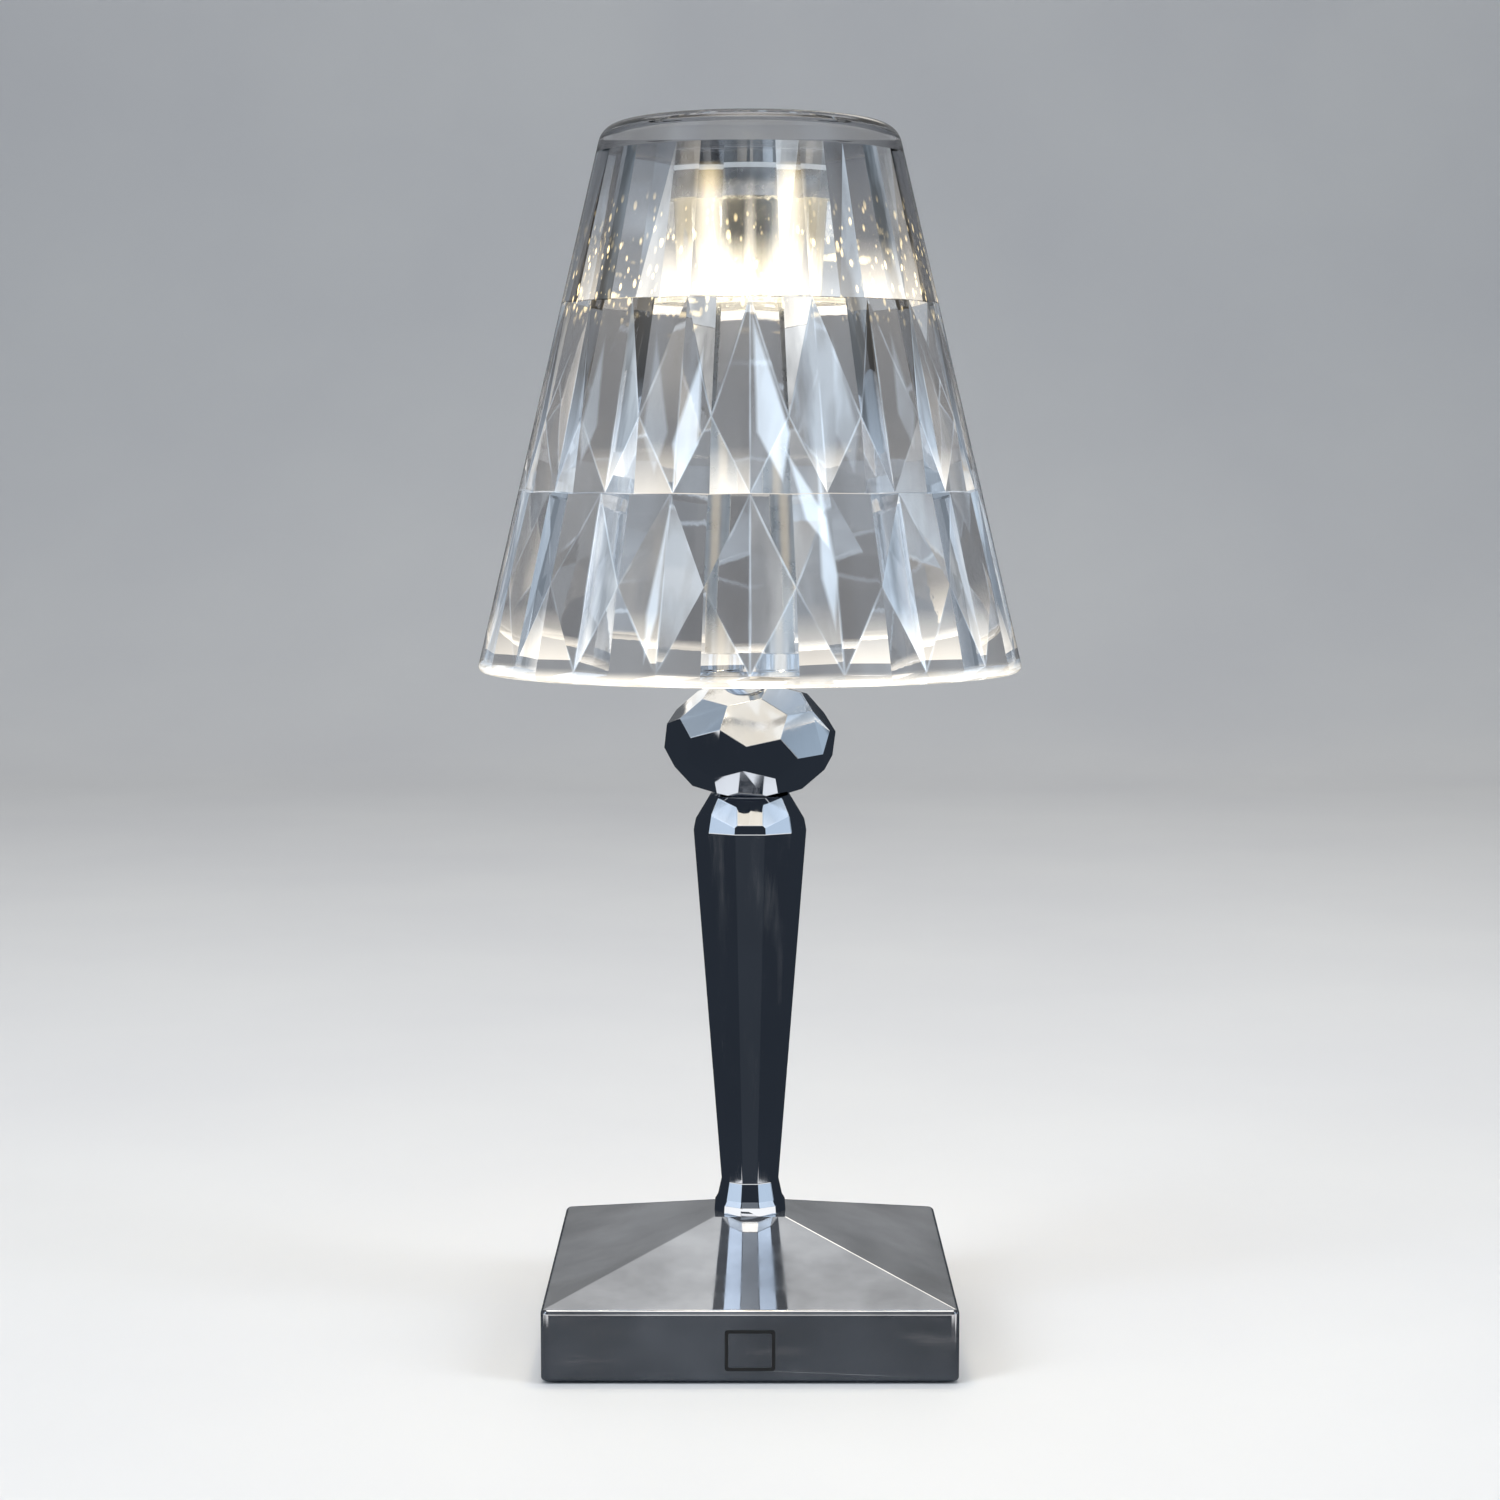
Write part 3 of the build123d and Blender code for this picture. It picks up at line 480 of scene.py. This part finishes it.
def turned_aluminium():
    material, tree = new_material("turned_aluminium")
    shader = principled(tree, Metallic=1.0)
    rings = add(tree, "ShaderNodeTexWave", wave_type="RINGS", rings_direction="Z")
    put(rings, Scale=260.0, Distortion=0.6, Detail=2.0)
    join(tree, coordinates(tree), rings.inputs["Vector"])
    grain = noise(tree, 600, 3)
    join(tree, colours(tree, grain, (0.70, 0.71, 0.72), (0.84, 0.84, 0.85)), shader.inputs["Base Color"])
    join(tree, ramp(tree, rings.outputs["Fac"], 0, 1, 0.22, 0.42), shader.inputs["Roughness"])
    join(tree, bump(tree, rings.outputs["Fac"], 0.12, 0.0001), shader.inputs["Normal"])
    return material


def metal(name, tint, rough_low, rough_high, scale=350, stretch=(1, 1, 1)):
    material, tree = new_material(name)
    shader = principled(tree, Metallic=1.0)
    grain = noise(tree, scale, 5, stretch)
    join(tree, colours(tree, grain, tuple(c * 0.82 for c in tint), tint), shader.inputs["Base Color"])
    join(tree, ramp(tree, grain, 0.3, 0.7, rough_low, rough_high), shader.inputs["Roughness"])
    join(tree, bump(tree, grain, 0.1, 0.0001), shader.inputs["Normal"])
    return material


# ---------------------------------------------------------------- plastics, rubber, boards
def moulded(name, tint, rough, texture_scale, depth, sheen=0.0):
    material, tree = new_material(name)
    shader = principled(tree, Metallic=0.0)
    shader.inputs["Sheen Weight"].default_value = sheen
    grain = noise(tree, texture_scale, 4)
    cloud = noise(tree, 45, 3)
    join(tree, colours(tree, cloud, tuple(c * 0.8 for c in tint), tint), shader.inputs["Base Color"])
    join(tree, ramp(tree, grain, 0.3, 0.7, rough - 0.08, rough + 0.08), shader.inputs["Roughness"])
    join(tree, bump(tree, grain, 0.25, depth), shader.inputs["Normal"])
    return material


def board(name, mask, copper):
    # solder mask over a pattern of copper lanes
    material, tree = new_material(name)
    shader = principled(tree, Metallic=0.0, Roughness=0.35)
    lanes = add(tree, "ShaderNodeTexBrick")
    put(lanes, Scale=330.0)
    lanes.inputs["Mortar Size"].default_value = 0.06
    lanes.inputs["Color1"].default_value = (*mask, 1)
    lanes.inputs["Color2"].default_value = (*[c * 0.85 for c in mask], 1)
    lanes.inputs["Mortar"].default_value = (*copper, 1)
    join(tree, coordinates(tree), lanes.inputs["Vector"])
    join(tree, lanes.outputs["Color"], shader.inputs["Base Color"])
    join(tree, bump(tree, lanes.outputs["Fac"], 0.2, 0.00005), shader.inputs["Normal"])
    return material


def led_white():
    # phosphor squares that glow, their colour varying in small patches
    material, tree = new_material("led_white")
    shader = principled(tree, Roughness=0.3)
    cells = noise(tree, 500, 3)
    join(tree, colours(tree, cells, (1.0, 0.80, 0.42), (1.0, 0.92, 0.70)), shader.inputs["Base Color"])
    join(tree, colours(tree, cells, (1.0, 0.82, 0.55), (1.0, 0.93, 0.80)), shader.inputs["Emission Color"])
    shader.inputs["Emission Strength"].default_value = 14.0
    return material


MATERIALS = {
    "clear_acrylic": clear_acrylic(),
    "clear_lens": clear_lens(),
    "clear_silicone": moulded("clear_silicone", (0.82, 0.82, 0.80), 0.45, 500, 0.0001),
    "chrome": chrome("chrome", (0.80, 0.83, 0.88), (1, 1, 0.12), 0.05),
    "base_chrome": chrome("base_chrome", (0.84, 0.85, 0.88), (0.18, 0.18, 1), 0.10, 0.93, 0.52),
    "turned_aluminium": turned_aluminium(),
    "led_white": led_white(),
    # the white board's mask is greyed to about half its white: painted shade, as it lies in shadow
    "white_board": board("white_board", (0.52, 0.52, 0.51), (0.42, 0.40, 0.35)),
    "green_board": board("green_board", (0.03, 0.20, 0.09), (0.09, 0.32, 0.14)),
    "steel": metal("steel", (0.66, 0.66, 0.65), 0.2, 0.38),
    "weight_steel": metal("weight_steel", (0.16, 0.16, 0.17), 0.4, 0.6),
    "black_plastic": moulded("black_plastic", (0.035, 0.035, 0.04), 0.42, 900, 0.0001),
    "cover_plastic": moulded("cover_plastic", (0.07, 0.07, 0.075), 0.55, 1100, 0.0002),
    "black_rubber": moulded("black_rubber", (0.02, 0.02, 0.02), 0.62, 800, 0.0001, 0.1),
    "battery_wrap": moulded("battery_wrap", (0.05, 0.16, 0.36), 0.28, 260, 0.0001),
    "foam": moulded("foam", (0.16, 0.16, 0.17), 0.85, 700, 0.0004),
    "silver_wire": metal("silver_wire", (0.80, 0.80, 0.80), 0.2, 0.35, 900, (1, 1, 0.1)),
    "wire_jacket": moulded("wire_jacket", (0.55, 0.04, 0.03), 0.4, 700, 0.0001),
    "can_aluminium": metal("can_aluminium", (0.55, 0.56, 0.58), 0.25, 0.4),
    "ferrite": moulded("ferrite", (0.10, 0.10, 0.11), 0.6, 900, 0.0003),
}
GLOWING = {"led_optics": glowing_lens()}
# edge bevels of the pieces with sharp corners, in metres
BEVELLED = {
    "faceted_ball": 0.00045, "stem_column": 0.00018, "base_shell": 0.00015, "ball_collar": 0.0003,
    "bottom_cover": 0.0002, "heat_sink": 0.0003, "lens_cup": 0.0003, "counterweight": 0.0003,
    "tie_nut": 0.0003, "port_cover": 0.0002, "tact_switch": 0.0002,
    "battery_connector": 0.0002, "driver_chip": 0.0001, "inductor": 0.0002,
}


WELD_WITHIN = 0.000002
BEVEL_FROM_ANGLE = math.radians(8)


def finish_cad_nodes():
    for name, node in NODES.items():
        material = GLOWING.get(name, MATERIALS[RECORD_SLOT[name]])
        node.data.materials.clear()
        node.data.materials.append(material)
        if name in BEVELLED:
            weld = node.modifiers.new("weld", "WELD")
            weld.merge_threshold = WELD_WITHIN
            bevel = node.modifiers.new("edges", "BEVEL")
            bevel.width = BEVELLED[name]
            bevel.segments = 2
            bevel.limit_method = "ANGLE"
            bevel.angle_limit = BEVEL_FROM_ANGLE
            bevel.harden_normals = True
            bevel.use_clamp_overlap = True


# ---------------------------------------------------------------- stage
def floor_material():
    material, tree = new_material("floor_paint")
    shader = principled(tree, Roughness=0.55)
    shade = colours(tree, noise(tree, 6, 4), (0.66, 0.66, 0.67), (0.70, 0.70, 0.70))
    join(tree, shade, shader.inputs["Base Color"])
    return material


def build_stage():
    # a floor that curves up into a back wall, as one sheet
    depth, curve_r, wall_top, steps = 1.6, 0.5, 2.2, 16
    outline = [(-FLOOR_HALF, 0.0), (depth - curve_r, 0.0)]
    for i in range(1, steps + 1):
        angle = i / steps * math.pi / 2
        outline.append((depth - curve_r + curve_r * math.sin(angle), curve_r * (1 - math.cos(angle))))
    outline.append((depth, wall_top))
    vertices = [(x, y, z) for y, z in outline for x in (-FLOOR_HALF, FLOOR_HALF)]
    faces = [(2 * i, 2 * i + 1, 2 * i + 3, 2 * i + 2) for i in range(len(outline) - 1)]
    mesh = bpy.data.meshes.new("floor")
    mesh.from_pydata(vertices, [], faces)
    for face in mesh.polygons:
        face.use_smooth = True
    floor = bpy.data.objects.new("floor", mesh)
    bpy.context.scene.collection.objects.link(floor)
    mesh.materials.append(floor_material())
    floor.visible_glossy = False


def area_light(name, at, aim, size, power, colour=(1, 1, 1)):
    data = bpy.data.lights.new(name, "AREA")
    data.shape = "RECTANGLE"
    data.size, data.size_y = size
    data.energy = power
    data.color = colour
    light = bpy.data.objects.new(name, data)
    light.location = at
    light.rotation_euler = (Vector(aim) - Vector(at)).to_track_quat("-Z", "Y").to_euler()
    light.visible_glossy = False
    light.visible_transmission = False
    bpy.context.scene.collection.objects.link(light)


def build_lights():
    area_light("key_left", (-0.75, -0.55, 0.75), (0, 0, 0.12), (0.5, 0.7), 7.0, (0.86, 0.93, 1.0))
    area_light("key_right", (0.8, -0.35, 0.6), (0, 0, 0.12), (0.35, 0.7), 4.5, (0.88, 0.94, 1.0))
    area_light("top", (0.0, 0.1, 1.1), (0, 0, 0), (0.8, 0.8), 6.0, (1.0, 0.97, 0.93))


def lamp_light():
    head_low, head_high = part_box("lens_cup")
    for i, side in enumerate((-1, 1)):
        data = bpy.data.lights.new(f"led_glow_{i}", "POINT")
        data.energy = 0.2
        data.shadow_soft_size = 0.004
        data.color = (1.0, 0.86, 0.66)
        light = bpy.data.objects.new(f"led_glow_{i}", data)
        light.location = (side * LED_AT_X, 0, (head_low.z + head_high.z) / 2)
        light.visible_transmission = False
        light.visible_glossy = False
        light.parent = frame["bodies"]["lamp"]
        bpy.context.scene.collection.objects.link(light)


def direction_window(tree, direction, towards, inner, outer):
    # 1 inside a soft round window of the room around `towards`, 0 outside; angles in degrees
    dot = add(tree, "ShaderNodeVectorMath", operation="DOT_PRODUCT")
    join(tree, direction, dot.inputs[0])
    dot.inputs[1].default_value = Vector(towards).normalized()
    return ramp(tree, dot.outputs["Value"], math.cos(math.radians(outer)), math.cos(math.radians(inner)))


def build_world():
    # what the chrome and the polished acrylic mirror: a dim room with a few soft windows
    world = bpy.data.worlds.new("studio")
    world.use_nodes = True
    bpy.context.scene.world = world
    tree = world.node_tree
    background = tree.nodes["Background"]
    direction = add(tree, "ShaderNodeTexCoord").outputs["Generated"]
    base = add(tree, "ShaderNodeRGB")
    base.outputs[0].default_value = (*ROOM_DARK, 1)
    colour = base.outputs[0]
    for towards, inner, outer, tint in ROOM:
        mix = add(tree, "ShaderNodeMix", data_type="RGBA", blend_type="ADD")
        join(tree, direction_window(tree, direction, towards, inner, outer), mix.inputs["Factor"])
        join(tree, colour, mix.inputs["A"])
        mix.inputs["B"].default_value = (*tint, 1)
        colour = mix.outputs["Result"]
    # a bright strip of window all along the front, a little below the lamp's eye level
    _, y, z = split(tree, direction)
    level = product(tree, ramp(tree, z, -0.235, -0.20), ramp(tree, z, -0.05, -0.02, 1, 0))
    mix = add(tree, "ShaderNodeMix", data_type="RGBA", blend_type="ADD")
    join(tree, product(tree, level, ramp(tree, y, -0.1, -0.3)), mix.inputs["Factor"])
    join(tree, colour, mix.inputs["A"])
    mix.inputs["B"].default_value = (*HORIZON, 1)
    # the camera itself sees plain pale surroundings, from any side
    plain = add(tree, "ShaderNodeMix", data_type="RGBA")
    join(tree, add(tree, "ShaderNodeLightPath").outputs["Is Camera Ray"], plain.inputs["Factor"])
    join(tree, mix.outputs["Result"], plain.inputs["A"])
    plain.inputs["B"].default_value = (*SURROUNDINGS, 1)
    join(tree, plain.outputs["Result"], background.inputs["Color"])
    background.inputs["Strength"].default_value = 1.0


def build_camera():
    data = bpy.data.cameras.new("camera")
    data.lens = LENS_MM
    data.sensor_width = 36.0
    camera = bpy.data.objects.new("camera", data)
    camera.location = CAMERA_AT
    camera.rotation_euler = (math.pi / 2 - CAMERA_DOWN, 0, 0)
    bpy.context.scene.collection.objects.link(camera)
    bpy.context.scene.camera = camera


finish_cad_nodes()
build_stage()
build_world()
build_lights()
lamp_light()
build_camera()
bpy.context.scene.view_settings.view_transform = "Standard"
